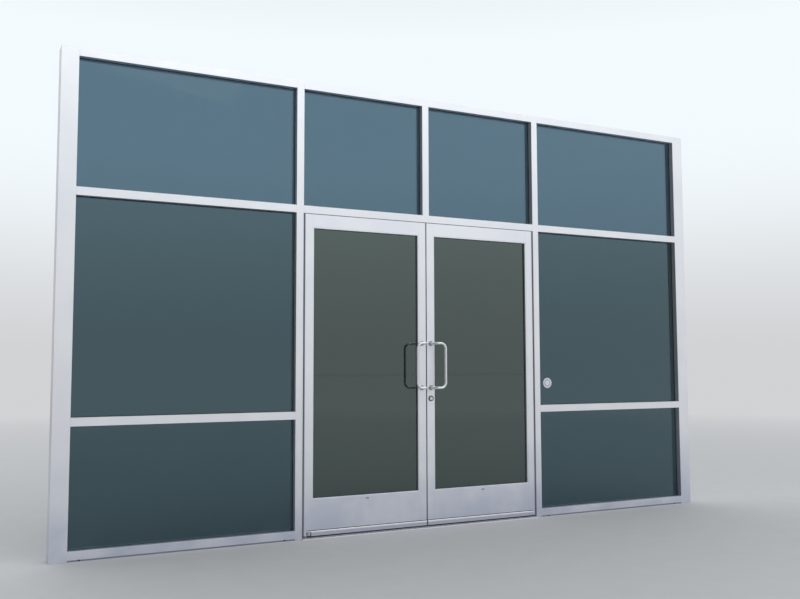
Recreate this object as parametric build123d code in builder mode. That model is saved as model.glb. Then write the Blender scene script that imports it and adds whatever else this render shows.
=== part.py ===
from build123d import *
import os

os.makedirs("parts", exist_ok=True)

# A glass entrance in an aluminium frame: a pair of outward-swinging glass doors, with a light
# above them and a sidelight of three panes at each hand. Millimetres, +X right, +Y into the
# building, +Z up. The origin is on the floor, at the middle of the doorway and of the frame's depth.

# Frame members
frame_width = 4954.0
frame_height = 3055.0
frame_depth = 114.0
sightline = 51.0
end_jamb_width = 102.0
frame_wall = 2.5
doorway_width = 1859.0
transom_bottom = 2155.0
side_rail_bottom = 781.0
sub_sill_height = 10.0
sub_sill_setback = 10.0

# Glazing pockets and the fixed insulating glass
pocket_width = 32.0
pocket_depth = 16.0
pane_thickness = 6.0
air_space = 13.0
glass_bite = 12.0
spacer_width = 8.0
spacer_setback = 3.0
gasket_reveal = 3.0
block_length = 100.0

# Door leaves
leaf_depth = 45.0
leaf_wall = 3.0
leaf_bottom = 20.0
top_gap = 4.0
hinge_gap = 11.5
meeting_gap = 8.0
stile_width = 54.0
top_rail_height = 86.0
bottom_rail_height = 232.0
door_glass_thickness = 6.0
door_glass_edge_gap = 3.0
stop_width = 10.0
stop_setback = 1.0
stop_bevel = 3.0
door_gasket_thickness = 3.0
door_gasket_reveal = 2.0
door_block_inset = 1.0

# Door stops in the frame and their weatherstrip
stop_projection = 20.0
head_stop_height = 16.0
head_stop_depth = 19.0
stop_tongue_clearance = 0.5
seal_thickness = 2.6
seal_width = 6.0
seal_gap = 0.4
seal_edge_inset = 1.0
head_seal_inset = 2.0

# Continuous hinge in each hinge gap
hinge_plate = 2.5
hinge_plate_edge = 39.0
hinge_axis_out = 2.0
hinge_clearance = 0.35
hinge_pin_radius = 3.0
hinge_pin_clearance = 0.1
hinge_end_margin = 3.0
knuckle_length = 430.0
knuckle_gap = 0.4

# Pull handles outside and push bars inside
pull_radius = 9.5
pull_centres = 313.0
pull_height = 1132.0
pull_base_inset = 32.0
pull_standoff = 79.0
pull_offset = 76.0
pull_elbow = 25.0
pull_bend = 38.0
pull_flange_radius = 17.0
pull_flange = 3.0
push_radius = 12.5
push_above_lock = 167.0
push_standoff = 60.0
push_bracket_radius = 9.0
push_flange_radius = 16.0
push_flange = 4.0
push_end_inset = 27.0
push_meeting_overhang = 20.0
push_hinge_overhang = 10.0

# Sweeps at the foot of the leaves
sweep_height = 32.0
sweep_thickness = 5.0
sweep_bevel = 2.0
sweep_hinge_margin = 19.0
sweep_meeting_margin = 1.0
fin_thickness = 2.5
fin_depth_in_holder = 6.0
fin_clearance = 0.2
fin_floor_gap = 0.8

# Threshold
threshold_height = 12.7
threshold_front = 18.0
threshold_bevel = 9.0
threshold_bevel_width = 16.0
threshold_groove = 1.5
threshold_groove_width = 4.0
threshold_groove_pitch = 12.0
threshold_recess = 8.0
threshold_rib = 12.0

# Lock in the right leaf, deadbolt and strike
lock_height = 900.0
lock_backset = 31.0
cylinder_radius = 14.7
cylinder_fit = 0.1
cylinder_hole_clearance = 0.2
cylinder_length = 25.0
inside_cylinder_length = 18.0
collar_radius = 20.0
collar_height = 5.0
collar_bevel = 2.0
plug_radius = 6.35
plug_proud = 0.5
plug_length = 24.0
keyway_width = 2.0
keyway_height = 8.0
keyway_depth = 10.0
turn_radius = 5.0
turn_length = 16.0
turn_wing_length = 30.0
turn_wing_width = 8.0
turn_wing_height = 14.0
turn_shaft_gap = 1.5
case_width = 45.0
case_depth = 25.0
case_above = 35.0
case_below = 75.0
faceplate_margin = 10.0
faceplate_clearance = 0.3
bolt_below_cylinder = 38.0
bolt_length = 44.0
bolt_thickness = 12.7
bolt_height = 25.0
bolt_clearance = 0.3
bolt_nose = 2.0
strike_height = 64.0
strike_slot_clearance = 1.5

# Brush seal between the leaves
brush_reach = 6.0
brush_thickness = 5.0
brush_inset = 2.0

# Places worked out from the sizes above
face_y = -frame_depth / 2
door_half = doorway_width / 2
mullion_outer = door_half + sightline
side_inner = frame_width / 2 - end_jamb_width
head_bottom = frame_height - sightline
transom_top = transom_bottom + sightline
side_rail_top = side_rail_bottom + sightline
sill_top = sub_sill_height + sightline
unit_thickness = 2 * pane_thickness + air_space
leaf_top = transom_bottom - top_gap
leaf_height = leaf_top - leaf_bottom
leaf_hinge_edge = door_half - hinge_gap
leaf_meeting_edge = meeting_gap / 2
leaf_inner_y = face_y + leaf_depth
leaf_middle_y = face_y + leaf_depth / 2
stile_hinge_side = leaf_hinge_edge - stile_width
stile_meeting_side = leaf_meeting_edge + stile_width
bottom_rail_top = leaf_bottom + bottom_rail_height
top_rail_bottom = leaf_top - top_rail_height
stop_face_y = leaf_inner_y + seal_thickness + seal_gap
hinge_axis_x = door_half - hinge_gap / 2
hinge_axis_y = face_y - hinge_axis_out
knuckle_radius = hinge_gap / 2 - hinge_clearance
lock_x = leaf_meeting_edge + lock_backset
bolt_z = lock_height - bolt_below_cylinder
push_height = lock_height + push_above_lock


def middle(limits):
    return (limits[0] + limits[1]) / 2


def block(x_limits, y_limits, z_limits, mode=Mode.ADD):
    """A box between pairs of limits, in the part being built."""
    sizes = [abs(limits[1] - limits[0]) for limits in (x_limits, y_limits, z_limits)]
    with Locations((middle(x_limits), middle(y_limits), middle(z_limits))):
        Box(*sizes, mode=mode)


def save(piece, name):
    piece.part.label = name
    export_step(piece.part, f"parts/{name}.step")


# Frame members: hollow tubes with a glazing pocket on each side that holds glass


def post(centre_x, width, z_limits, glass_sides):
    """An upright member. glass_sides lists -1 for a pocket at its left, 1 at its right."""
    pocket_wall = pocket_depth + frame_wall
    with BuildPart() as member:
        with BuildSketch(Plane.XY.offset(z_limits[0])):
            with Locations((centre_x, 0)):
                Rectangle(width, frame_depth)
                Rectangle(width - 2 * frame_wall, frame_depth - 2 * frame_wall, mode=Mode.SUBTRACT)
            for side in glass_sides:
                with Locations((centre_x + side * (width - pocket_wall) / 2, 0)):
                    Rectangle(pocket_wall, pocket_width + 2 * frame_wall)
            for side in glass_sides:
                with Locations((centre_x + side * (width - pocket_depth) / 2, 0)):
                    Rectangle(pocket_depth, pocket_width, mode=Mode.SUBTRACT)
        extrude(amount=z_limits[1] - z_limits[0])
    return member


def rail(x_limits, bottom_z, glass_sides):
    """A level member between two posts. glass_sides lists -1 for a pocket below, 1 above."""
    pocket_wall = pocket_depth + frame_wall
    centre_z = bottom_z + sightline / 2
    with BuildPart() as member:
        with BuildSketch(Plane.YZ.offset(x_limits[0])):
            with Locations((0, centre_z)):
                Rectangle(frame_depth, sightline)
                Rectangle(frame_depth - 2 * frame_wall, sightline - 2 * frame_wall, mode=Mode.SUBTRACT)
            for side in glass_sides:
                with Locations((0, centre_z + side * (sightline - pocket_wall) / 2)):
                    Rectangle(pocket_width + 2 * frame_wall, pocket_wall)
            for side in glass_sides:
                with Locations((0, centre_z + side * (sightline - pocket_depth) / 2)):
                    Rectangle(pocket_width, pocket_depth, mode=Mode.SUBTRACT)
        extrude(amount=x_limits[1] - x_limits[0])
    return member


full_height = (0, frame_height)
left_bay = (-side_inner, -mullion_outer)
middle_bay = (-door_half, door_half)
right_bay = (mullion_outer, side_inner)
jamb_x = (frame_width - end_jamb_width) / 2
mullion_x = door_half + sightline / 2

save(post(-jamb_x, end_jamb_width, full_height, [1]), "jamb_left")
save(post(jamb_x, end_jamb_width, full_height, [-1]), "jamb_right")
save(post(-mullion_x, sightline, full_height, [-1, 1]), "mullion_left")
save(post(mullion_x, sightline, full_height, [-1, 1]), "mullion_right")
save(post(0, sightline, (transom_top, head_bottom), [-1, 1]), "mullion_center")

for bay_name, bay in (("left", left_bay), ("center", middle_bay), ("right", right_bay)):
    save(rail(bay, head_bottom, [-1]), f"head_{bay_name}")
save(rail(left_bay, transom_bottom, [-1, 1]), "transom_left")
save(rail(middle_bay, transom_bottom, [1]), "transom_center")
save(rail(right_bay, transom_bottom, [-1, 1]), "transom_right")
for bay_name, bay in (("left", left_bay), ("right", right_bay)):
    save(rail(bay, side_rail_bottom, [-1, 1]), f"rail_{bay_name}")
    save(rail(bay, sub_sill_height, [1]), f"sill_{bay_name}")

# The sub-sill is an open channel under each sidelight, set back a little from the face
sub_sill_y = (face_y + sub_sill_setback, -face_y)
with BuildPart() as sub_sill:
    for bay in (left_bay, right_bay):
        with BuildSketch(Plane.YZ.offset(bay[0])):
            with Locations((middle(sub_sill_y), sub_sill_height / 2)):
                Rectangle(sub_sill_y[1] - sub_sill_y[0], sub_sill_height)
            with Locations((middle(sub_sill_y), (sub_sill_height - frame_wall) / 2)):
                channel_width = sub_sill_y[1] - sub_sill_y[0] - 2 * frame_wall
                Rectangle(channel_width, sub_sill_height - frame_wall, mode=Mode.SUBTRACT)
        extrude(amount=bay[1] - bay[0])
save(sub_sill, "sub_sill")

# Fixed glass: insulating units of two panes on a spacer, held by gaskets in the pockets
mid_left = (-door_half, -sightline / 2)
mid_right = (sightline / 2, door_half)
upper = (transom_top, head_bottom)
central = (side_rail_top, transom_bottom)
lower = (sill_top, side_rail_bottom)
daylights = {
    "lite_top_left": (left_bay, upper),
    "lite_top_center_left": (mid_left, upper),
    "lite_top_center_right": (mid_right, upper),
    "lite_top_right": (right_bay, upper),
    "lite_mid_left": (left_bay, central),
    "lite_mid_right": (right_bay, central),
    "lite_low_left": (left_bay, lower),
    "lite_low_right": (right_bay, lower),
}


def grown(limits, margin):
    return (limits[0] - margin, limits[1] + margin)


def ring(opening, outer_margin, inner_margin, front_y, depth):
    """A level-sided ring round an opening, in the part being built, from front_y inwards."""
    x_outer, z_outer = (grown(limits, outer_margin) for limits in opening)
    x_inner, z_inner = (grown(limits, inner_margin) for limits in opening)
    y_limits = (front_y, front_y + depth)
    block(x_outer, y_limits, z_outer)
    block(x_inner, y_limits, z_inner, mode=Mode.SUBTRACT)


pane_fronts = (-unit_thickness / 2, unit_thickness / 2 - pane_thickness)
for name, daylight in daylights.items():
    with BuildPart() as lite:
        x_glass, z_glass = (grown(limits, glass_bite) for limits in daylight)
        for front in pane_fronts:
            block(x_glass, (front, front + pane_thickness), z_glass)
    save(lite, name)

spacer_outer = glass_bite - spacer_setback
with BuildPart() as glass_spacers:
    for daylight in daylights.values():
        ring(daylight, spacer_outer, spacer_outer - spacer_width, -air_space / 2, air_space)
save(glass_spacers, "glass_spacers")

# Gaskets fill the pocket at both faces of the glass, and two blocks carry each unit
gasket_thickness = (pocket_width - unit_thickness) / 2
with BuildPart() as frame_gaskets:
    for x_daylight, z_daylight in daylights.values():
        for front in (-pocket_width / 2, unit_thickness / 2):
            opening = (x_daylight, z_daylight)
            ring(opening, glass_bite - gasket_reveal, -gasket_reveal, front, gasket_thickness)
        quarter = (x_daylight[1] - x_daylight[0]) / 4
        block_z = (z_daylight[0] - pocket_depth, z_daylight[0] - glass_bite)
        for x in (x_daylight[0] + quarter, x_daylight[1] - quarter):
            block(grown((x, x), block_length / 2), grown((0, 0), unit_thickness / 2), block_z)
save(frame_gaskets, "frame_gaskets")

# Threshold: a grooved saddle with bevelled edges, hollow beneath apart from a middle rib
threshold_y = (face_y - threshold_front, -face_y)
bevel_drop = threshold_height - threshold_bevel
recesses = (
    (threshold_y[0] + threshold_bevel_width, -threshold_rib),
    (threshold_rib, threshold_y[1] - threshold_bevel_width),
)
threshold_flat = threshold_y[1] - threshold_y[0] - 2 * threshold_bevel_width
groove_count = int(threshold_flat / threshold_groove_pitch) - 1
with BuildPart() as threshold:
    with BuildSketch(Plane.YZ.offset(-door_half)):
        with BuildLine():
            Polyline(
                (threshold_y[0], 0),
                (threshold_y[0], bevel_drop),
                (threshold_y[0] + threshold_bevel_width, threshold_height),
                (threshold_y[1] - threshold_bevel_width, threshold_height),
                (threshold_y[1], bevel_drop),
                (threshold_y[1], 0),
                close=True,
            )
        make_face()
        for recess in recesses:
            with Locations((middle(recess), 0)):
                Rectangle(recess[1] - recess[0], threshold_recess, mode=Mode.SUBTRACT)
        with Locations((middle(threshold_y), threshold_height)):
            with GridLocations(threshold_groove_pitch, 1, groove_count, 1):
                Rectangle(threshold_groove_width, 2 * threshold_groove, mode=Mode.SUBTRACT)
    extrude(amount=doorway_width)
save(threshold, "threshold")

# Door stops: each jamb stop snaps into the pocket of the door's mullion, and the head stop sits
# under the transom
tongue_half = pocket_width / 2 - stop_tongue_clearance
head_stop_bottom = transom_bottom - head_stop_height
head_stop_y = (stop_face_y, stop_face_y + head_stop_depth)
with BuildPart() as door_stops:
    for side in (-1, 1):
        with BuildSketch(Plane.XY.offset(threshold_height)):
            pocket_middle = side * (door_half + pocket_depth / 2)
            with Locations((pocket_middle, 0)):
                Rectangle(pocket_depth, 2 * tongue_half)
            nose_x = side * (door_half - stop_projection / 2)
            with Locations((nose_x, (stop_face_y + tongue_half) / 2)):
                Rectangle(stop_projection, tongue_half - stop_face_y)
        extrude(amount=transom_bottom - threshold_height)
    block(grown(middle_bay, -stop_projection - seal_gap), head_stop_y, (head_stop_bottom, transom_bottom))
save(door_stops, "door_stops")

# Weatherstrip on the faces of the stops, just clear of the closed leaves
seal_y = (stop_face_y - seal_thickness, stop_face_y)
seal_start = door_half - stop_projection + seal_edge_inset
head_seal_bottom = head_stop_bottom + head_seal_inset
with BuildPart() as weatherstrip:
    for side in (-1, 1):
        seal_x = (side * seal_start, side * (seal_start + seal_width))
        block(seal_x, seal_y, (threshold_height, head_stop_bottom))
    head_seal_x = grown(middle_bay, -stop_projection - seal_gap)
    block(head_seal_x, seal_y, (head_seal_bottom, head_seal_bottom + seal_width))
save(weatherstrip, "weatherstrip")

# Continuous hinge: knuckles alternate between the jamb plate and the door plate round one pin
hinge_z = (leaf_bottom + hinge_end_margin, leaf_top - hinge_end_margin)
hinge_height = hinge_z[1] - hinge_z[0]
knuckle_count = 2 * round(hinge_height / knuckle_length / 2) + 1
knuckle_pitch = hinge_height / knuckle_count
knuckle_starts = [hinge_z[0] + index * knuckle_pitch for index in range(knuckle_count)]
jamb_knuckles = knuckle_starts[0::2]
door_knuckles = knuckle_starts[1::2]
plate_width = hinge_axis_out + hinge_plate_edge - knuckle_radius


def hinge_plate_into(axis_x, toward, own_starts, other_starts):
    """A plate with its knuckles, in the part being built, notched where the other plate's knuckles
    turn. toward is the way from the axis to the plate."""
    plate_x = axis_x + toward * (hinge_gap - hinge_plate) / 2
    plate_limits = grown((plate_x, plate_x), hinge_plate / 2)
    notch_y = (hinge_axis_y, hinge_axis_y + knuckle_radius + hinge_clearance)
    low = (Align.CENTER, Align.CENTER, Align.MIN)
    block(plate_limits, (hinge_axis_y, hinge_axis_y + plate_width), hinge_z)
    for z in other_starts:
        block(plate_limits, notch_y, (z, z + knuckle_pitch), mode=Mode.SUBTRACT)
    with Locations(*[(axis_x, hinge_axis_y, z + knuckle_gap / 2) for z in own_starts]):
        Cylinder(knuckle_radius, knuckle_pitch - knuckle_gap, align=low)
    with Locations((axis_x, hinge_axis_y, hinge_z[0])):
        Cylinder(hinge_pin_radius + hinge_pin_clearance, hinge_height, align=low, mode=Mode.SUBTRACT)


with BuildPart() as hinge_jamb_plates:
    for side in (-1, 1):
        hinge_plate_into(side * hinge_axis_x, side, jamb_knuckles, door_knuckles)
save(hinge_jamb_plates, "hinge_jamb_plates")

with BuildPart() as hinge_pins:
    with Locations(*[(side * hinge_axis_x, hinge_axis_y, middle(hinge_z)) for side in (-1, 1)]):
        Cylinder(hinge_pin_radius, hinge_height)
save(hinge_pins, "hinge_pins")

# Leaves: each piece is placed by its distance from the middle of the doorway, times the hand,
# which is -1 at the left and 1 at the right
stile_z = (leaf_bottom, leaf_top)
leaf_y = (face_y, leaf_inner_y)
glass_half = door_glass_thickness / 2
opening_z = (bottom_rail_top, top_rail_bottom)
bolt_y = grown((leaf_middle_y, leaf_middle_y), bolt_thickness / 2)
bolt_z_limits = grown((bolt_z, bolt_z), bolt_height / 2)
faceplate_z = (lock_height - case_below - faceplate_margin, lock_height + case_above + faceplate_margin)
plate_y = grown((leaf_middle_y, leaf_middle_y), case_depth / 2)
strike_z = grown((bolt_z, bolt_z), strike_height / 2)


def stile(hand, edge, width):
    """An upright tube of a leaf, from edge outwards from the middle of the doorway."""
    with BuildPart() as tube:
        with BuildSketch(Plane.XY.offset(leaf_bottom)):
            with Locations((hand * (edge + width / 2), leaf_middle_y)):
                Rectangle(width, leaf_depth)
                Rectangle(width - 2 * leaf_wall, leaf_depth - 2 * leaf_wall, mode=Mode.SUBTRACT)
        extrude(amount=leaf_height)
    return tube


def leaf_rail(hand, z_limits):
    """A level tube of a leaf, between its stiles."""
    x_start = min(hand * stile_meeting_side, hand * stile_hinge_side)
    height = z_limits[1] - z_limits[0]
    with BuildPart() as tube:
        with BuildSketch(Plane.YZ.offset(x_start)):
            with Locations((leaf_middle_y, middle(z_limits))):
                Rectangle(leaf_depth, height)
                Rectangle(leaf_depth - 2 * leaf_wall, height - 2 * leaf_wall, mode=Mode.SUBTRACT)
        extrude(amount=stile_hinge_side - stile_meeting_side)
    return tube


def plate_cutout(hand, z_limits):
    """The opening for a lock plate in the edge wall of a meeting stile, in the part being built."""
    x_limits = (hand * leaf_meeting_edge, hand * (leaf_meeting_edge + leaf_wall))
    block(
        x_limits,
        grown(plate_y, faceplate_clearance),
        grown(z_limits, faceplate_clearance),
        mode=Mode.SUBTRACT,
    )


def meeting_stile(hand):
    with BuildPart() as piece:
        add(stile(hand, leaf_meeting_edge, stile_width).part)
        if hand < 0:
            plate_cutout(hand, strike_z)
        else:
            plate_cutout(hand, faceplate_z)
            with Locations(Plane.XZ.offset(-middle(leaf_y))):
                with Locations((lock_x, lock_height)):
                    Cylinder(cylinder_radius + cylinder_hole_clearance, leaf_depth, mode=Mode.SUBTRACT)
    return piece


def leaf_opening(hand):
    return (sorted((hand * stile_meeting_side, hand * stile_hinge_side)), opening_z)


def door_glass(hand):
    x_limits, z_limits = (grown(limits, -door_glass_edge_gap) for limits in leaf_opening(hand))
    with BuildPart() as pane:
        block(x_limits, grown((leaf_middle_y, leaf_middle_y), glass_half), z_limits)
    return pane


def glass_stops(hand):
    """Square stops round the glass, outside and inside, bevelled at the edge nearest the glass."""
    gasket_face = glass_half + door_gasket_thickness
    outer_front = face_y + stop_setback
    inner_front = leaf_middle_y + gasket_face
    stop_depth = leaf_middle_y - gasket_face - outer_front
    with BuildPart() as stops:
        ring(leaf_opening(hand), 0, -stop_width, outer_front, stop_depth)
        front = stops.faces().sort_by(Axis.Y)[0]
        chamfer(front.inner_wires().edges(), length=stop_bevel)
        ring(leaf_opening(hand), 0, -stop_width, inner_front, stop_depth)
        back = stops.faces().sort_by(Axis.Y)[-1]
        chamfer(back.inner_wires().edges(), length=stop_bevel)
    return stops


def door_gaskets(hand):
    """Gaskets between the stops and the glass, and the two blocks that carry the glass."""
    x_opening, z_opening = leaf_opening(hand)
    reveal = -stop_width - door_gasket_reveal
    with BuildPart() as gaskets:
        for front in (leaf_middle_y - glass_half - door_gasket_thickness, leaf_middle_y + glass_half):
            ring((x_opening, z_opening), -door_glass_edge_gap, reveal, front, door_gasket_thickness)
        quarter = (x_opening[1] - x_opening[0]) / 4
        for x in (x_opening[0] + quarter, x_opening[1] - quarter):
            block(
                grown((x, x), block_length / 2),
                grown((leaf_middle_y, leaf_middle_y), glass_half - door_block_inset),
                (z_opening[0], z_opening[0] + door_glass_edge_gap),
            )
    return gaskets


def pull_handle(hand):
    """A round bar bent to an offset pull: straight out, then aside, then down the grip."""
    out, aside, down = Vector(0, -1, 0), Vector(hand, 0, 0), Vector(0, 0, -1)
    base = Vector(hand * (leaf_meeting_edge + pull_base_inset), face_y, pull_height + pull_centres / 2)
    elbow = base + out * pull_standoff
    grip = elbow + aside * pull_offset
    straights = (
        (base, out, pull_standoff - pull_elbow),
        (elbow + aside * pull_elbow, aside, pull_offset - pull_elbow - pull_bend),
        (grip + down * pull_bend, down, pull_centres / 2 - pull_bend),
    )
    bends = ((elbow, out, aside, pull_elbow), (grip, aside, down, pull_bend))
    with BuildPart() as pull:
        for start, heading, length in straights:
            with BuildSketch(Plane(origin=start, z_dir=heading)):
                Circle(pull_radius)
            extrude(amount=length)
        for corner, before, after, radius in bends:
            start = corner - before * radius
            with BuildSketch(Plane(origin=start, z_dir=before)):
                Circle(pull_radius)
            revolve(axis=Axis(start + after * radius, before.cross(after)), revolution_arc=90)
        with BuildSketch(Plane.XZ.offset(-face_y)):
            with Locations((base.X, base.Z)):
                Circle(pull_flange_radius)
        extrude(amount=pull_flange)
        mirror(about=Plane.XY.offset(pull_height))
    return pull


def push_bar(hand):
    """A straight level bar across the inside of the leaf, on a bracket at each stile."""
    bar_y = leaf_inner_y + push_standoff
    near, far = leaf_meeting_edge + push_end_inset, leaf_hinge_edge - push_end_inset
    bar_x = sorted((hand * (near - push_meeting_overhang), hand * (far + push_hinge_overhang)))
    with BuildPart() as bar:
        with BuildSketch(Plane.YZ.offset(bar_x[0])):
            with Locations((bar_y, push_height)):
                Circle(push_radius)
        extrude(amount=bar_x[1] - bar_x[0])
        with BuildSketch(Plane.XZ.offset(-leaf_inner_y)):
            with Locations((hand * near, push_height), (hand * far, push_height)):
                Circle(push_bracket_radius)
        extrude(amount=-push_standoff)
        with BuildSketch(Plane.XZ.offset(-leaf_inner_y)):
            with Locations((hand * near, push_height), (hand * far, push_height)):
                Circle(push_flange_radius)
        extrude(amount=-push_flange)
    return bar


def sweep_strip(hand):
    """The strip at the foot of the leaf's outer face, with the fin that brushes the threshold."""
    ends = (leaf_meeting_edge + sweep_meeting_margin, leaf_hinge_edge - sweep_hinge_margin)
    x_start = min(hand * ends[0], hand * ends[1])
    fin_y = face_y - sweep_thickness / 2
    top_z = leaf_bottom + sweep_height
    fin_top = leaf_bottom + fin_depth_in_holder
    fin_bottom = threshold_height + fin_floor_gap
    groove = (fin_thickness + 2 * fin_clearance, fin_depth_in_holder + fin_clearance)
    with BuildPart() as strip:
        with BuildSketch(Plane.YZ.offset(x_start)):
            with BuildLine():
                Polyline(
                    (face_y, leaf_bottom),
                    (face_y, top_z),
                    (face_y - sweep_thickness + sweep_bevel, top_z),
                    (face_y - sweep_thickness, top_z - sweep_bevel),
                    (face_y - sweep_thickness, leaf_bottom),
                    close=True,
                )
            make_face()
            with Locations((fin_y, leaf_bottom + groove[1] / 2)):
                Rectangle(*groove, mode=Mode.SUBTRACT)
            with Locations((fin_y, (fin_top + fin_bottom) / 2)):
                Rectangle(fin_thickness, fin_top - fin_bottom)
        extrude(amount=ends[1] - ends[0])
    return strip


def hinge_door_plate(hand):
    with BuildPart() as plate:
        hinge_plate_into(hand * hinge_axis_x, -hand, door_knuckles, jamb_knuckles)
    return plate


for hand, hand_name in ((-1, "left"), (1, "right")):
    save(stile(hand, stile_hinge_side, stile_width), f"{hand_name}_hinge_stile")
    save(meeting_stile(hand), f"{hand_name}_meeting_stile")
    save(leaf_rail(hand, (top_rail_bottom, leaf_top)), f"{hand_name}_top_rail")
    save(leaf_rail(hand, (leaf_bottom, bottom_rail_top)), f"{hand_name}_bottom_rail")
    save(door_glass(hand), f"{hand_name}_door_glass")
    save(glass_stops(hand), f"{hand_name}_glass_stops")
    save(door_gaskets(hand), f"{hand_name}_door_gaskets")
    save(pull_handle(hand), f"{hand_name}_pull_handle")
    save(push_bar(hand), f"{hand_name}_push_bar")
    save(sweep_strip(hand), f"{hand_name}_sweep")
    save(hinge_door_plate(hand), f"{hand_name}_hinge_door_plate")

# Brush seal on the edge of the left leaf, near its outer face and just short of the right leaf
with BuildPart() as meeting_brush:
    brush_x = (-leaf_meeting_edge, brush_reach - leaf_meeting_edge)
    brush_y = (face_y + brush_inset, face_y + brush_inset + brush_thickness)
    block(brush_x, brush_y, stile_z)
save(meeting_brush, "meeting_brush")

# Lock case: a block in the right meeting stile, with its faceplate flush in the stile's edge
case_x = (leaf_meeting_edge + leaf_wall, leaf_meeting_edge + leaf_wall + case_width)
case_z = (lock_height - case_below, lock_height + case_above)
bolt_x = (leaf_meeting_edge + bolt_clearance, leaf_meeting_edge + bolt_clearance + bolt_length)
with BuildPart() as lock_case:
    block(case_x, plate_y, case_z)
    block((leaf_meeting_edge, case_x[0]), plate_y, faceplate_z)
    block(
        (leaf_meeting_edge, bolt_x[1] + bolt_clearance),
        grown(bolt_y, bolt_clearance),
        grown(bolt_z_limits, bolt_clearance),
        mode=Mode.SUBTRACT,
    )
    with Locations(Plane.XZ.offset(-leaf_middle_y)):
        with Locations((lock_x, lock_height)):
            Cylinder(cylinder_radius + cylinder_fit, case_depth, mode=Mode.SUBTRACT)
save(lock_case, "lock_case")

# Deadbolt, drawn back in its case
with BuildPart() as deadbolt:
    block(bolt_x, bolt_y, bolt_z_limits)
    nose = deadbolt.faces().sort_by(Axis.X)[0]
    chamfer(nose.edges().filter_by(Axis.Z), length=bolt_nose)
save(deadbolt, "deadbolt")

# Strike in the left meeting stile
with BuildPart() as strike:
    block((-leaf_meeting_edge - leaf_wall, -leaf_meeting_edge), plate_y, strike_z)
    block(
        (-leaf_meeting_edge - leaf_wall, -leaf_meeting_edge),
        grown(bolt_y, strike_slot_clearance),
        grown(bolt_z_limits, strike_slot_clearance),
        mode=Mode.SUBTRACT,
    )
save(strike, "strike")

# Lock cylinders: one outside for the key, one inside for the thumbturn, each with a bevelled collar
with BuildPart() as lock_cylinder:
    for face, inward, length, bore in (
        (Plane.XZ.offset(-face_y), -1, cylinder_length, plug_radius + cylinder_fit),
        (Plane.XZ.offset(-leaf_inner_y), 1, inside_cylinder_length, turn_radius + cylinder_fit),
    ):
        with BuildSketch(face):
            with Locations((lock_x, lock_height)):
                Circle(cylinder_radius)
                Circle(bore, mode=Mode.SUBTRACT)
        extrude(amount=inward * length)
        with BuildSketch(face):
            with Locations((lock_x, lock_height)):
                Circle(collar_radius)
                Circle(bore, mode=Mode.SUBTRACT)
        extrude(amount=-inward * collar_height)
        front = lock_cylinder.faces().sort_by(Axis.Y)[0 if inward < 0 else -1]
        chamfer(front.outer_wire().edges(), length=collar_bevel)
save(lock_cylinder, "lock_cylinder")

# Key plug with its keyway, standing a little proud of the collar
plug_front = face_y - collar_height - plug_proud
with BuildPart() as key_plug:
    with BuildSketch(Plane.XZ.offset(-plug_front)):
        with Locations((lock_x, lock_height)):
            Circle(plug_radius)
    extrude(amount=-plug_length)
    with BuildSketch(Plane.XZ.offset(-plug_front)):
        with Locations((lock_x, lock_height)):
            Rectangle(keyway_width, keyway_height)
    extrude(amount=-keyway_depth, mode=Mode.SUBTRACT)
save(key_plug, "key_plug")

# Thumbturn: a shaft in the inside cylinder and a flat wing in front of the collar
wing_back = leaf_inner_y + collar_height + turn_shaft_gap
with BuildPart() as thumbturn:
    with BuildSketch(Plane.XZ.offset(-wing_back)):
        with Locations((lock_x, lock_height)):
            Circle(turn_radius)
    extrude(amount=turn_length)
    with BuildSketch(Plane.XZ.offset(-wing_back)):
        with Locations((lock_x, lock_height)):
            SlotOverall(turn_wing_length, turn_wing_width)
    extrude(amount=-turn_wing_height)
save(thumbturn, "thumbturn")
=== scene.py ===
# %% [markdown]
# # A glass entrance in an aluminium frame
# The frame, the two leaves, the hinges and the lock are already solids at their real size. This
# lesson loads them, gives each one its finish, and adds what a maker would add last: the rounded
# gaskets, the mitred glass stops, the screws, the seals at the foot and a round sticker.
# Everything is in metres, with the floor at Z = 0 and the outside of the building towards -Y.

# %% Load the model that everything is fitted to
import math

import bpy
import numpy as np
from mathutils import Matrix, Vector


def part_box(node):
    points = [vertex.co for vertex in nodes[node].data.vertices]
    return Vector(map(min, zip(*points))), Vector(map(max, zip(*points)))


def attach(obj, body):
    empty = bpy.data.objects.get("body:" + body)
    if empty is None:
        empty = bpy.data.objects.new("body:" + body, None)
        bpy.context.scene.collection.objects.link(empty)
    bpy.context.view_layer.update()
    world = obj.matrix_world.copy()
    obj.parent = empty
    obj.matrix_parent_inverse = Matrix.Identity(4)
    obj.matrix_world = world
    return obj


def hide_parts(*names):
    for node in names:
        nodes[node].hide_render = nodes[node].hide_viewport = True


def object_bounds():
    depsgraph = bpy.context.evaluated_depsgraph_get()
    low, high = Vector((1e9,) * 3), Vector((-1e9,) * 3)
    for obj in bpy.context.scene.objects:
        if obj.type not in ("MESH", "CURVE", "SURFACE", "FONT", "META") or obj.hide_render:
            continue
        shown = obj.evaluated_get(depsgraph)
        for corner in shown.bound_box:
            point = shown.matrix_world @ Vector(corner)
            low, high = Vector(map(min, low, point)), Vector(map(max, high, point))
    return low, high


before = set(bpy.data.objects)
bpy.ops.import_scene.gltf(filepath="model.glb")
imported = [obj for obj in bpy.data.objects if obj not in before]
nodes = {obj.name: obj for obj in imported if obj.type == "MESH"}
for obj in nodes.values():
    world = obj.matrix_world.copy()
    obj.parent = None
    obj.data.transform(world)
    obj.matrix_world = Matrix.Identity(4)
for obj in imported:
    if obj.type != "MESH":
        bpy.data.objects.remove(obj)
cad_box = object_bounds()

box_corners = [tuple(round(number, 3) for number in corner) for corner in cad_box]
print("nodes loaded:", len(nodes), "box:", box_corners)

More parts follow.
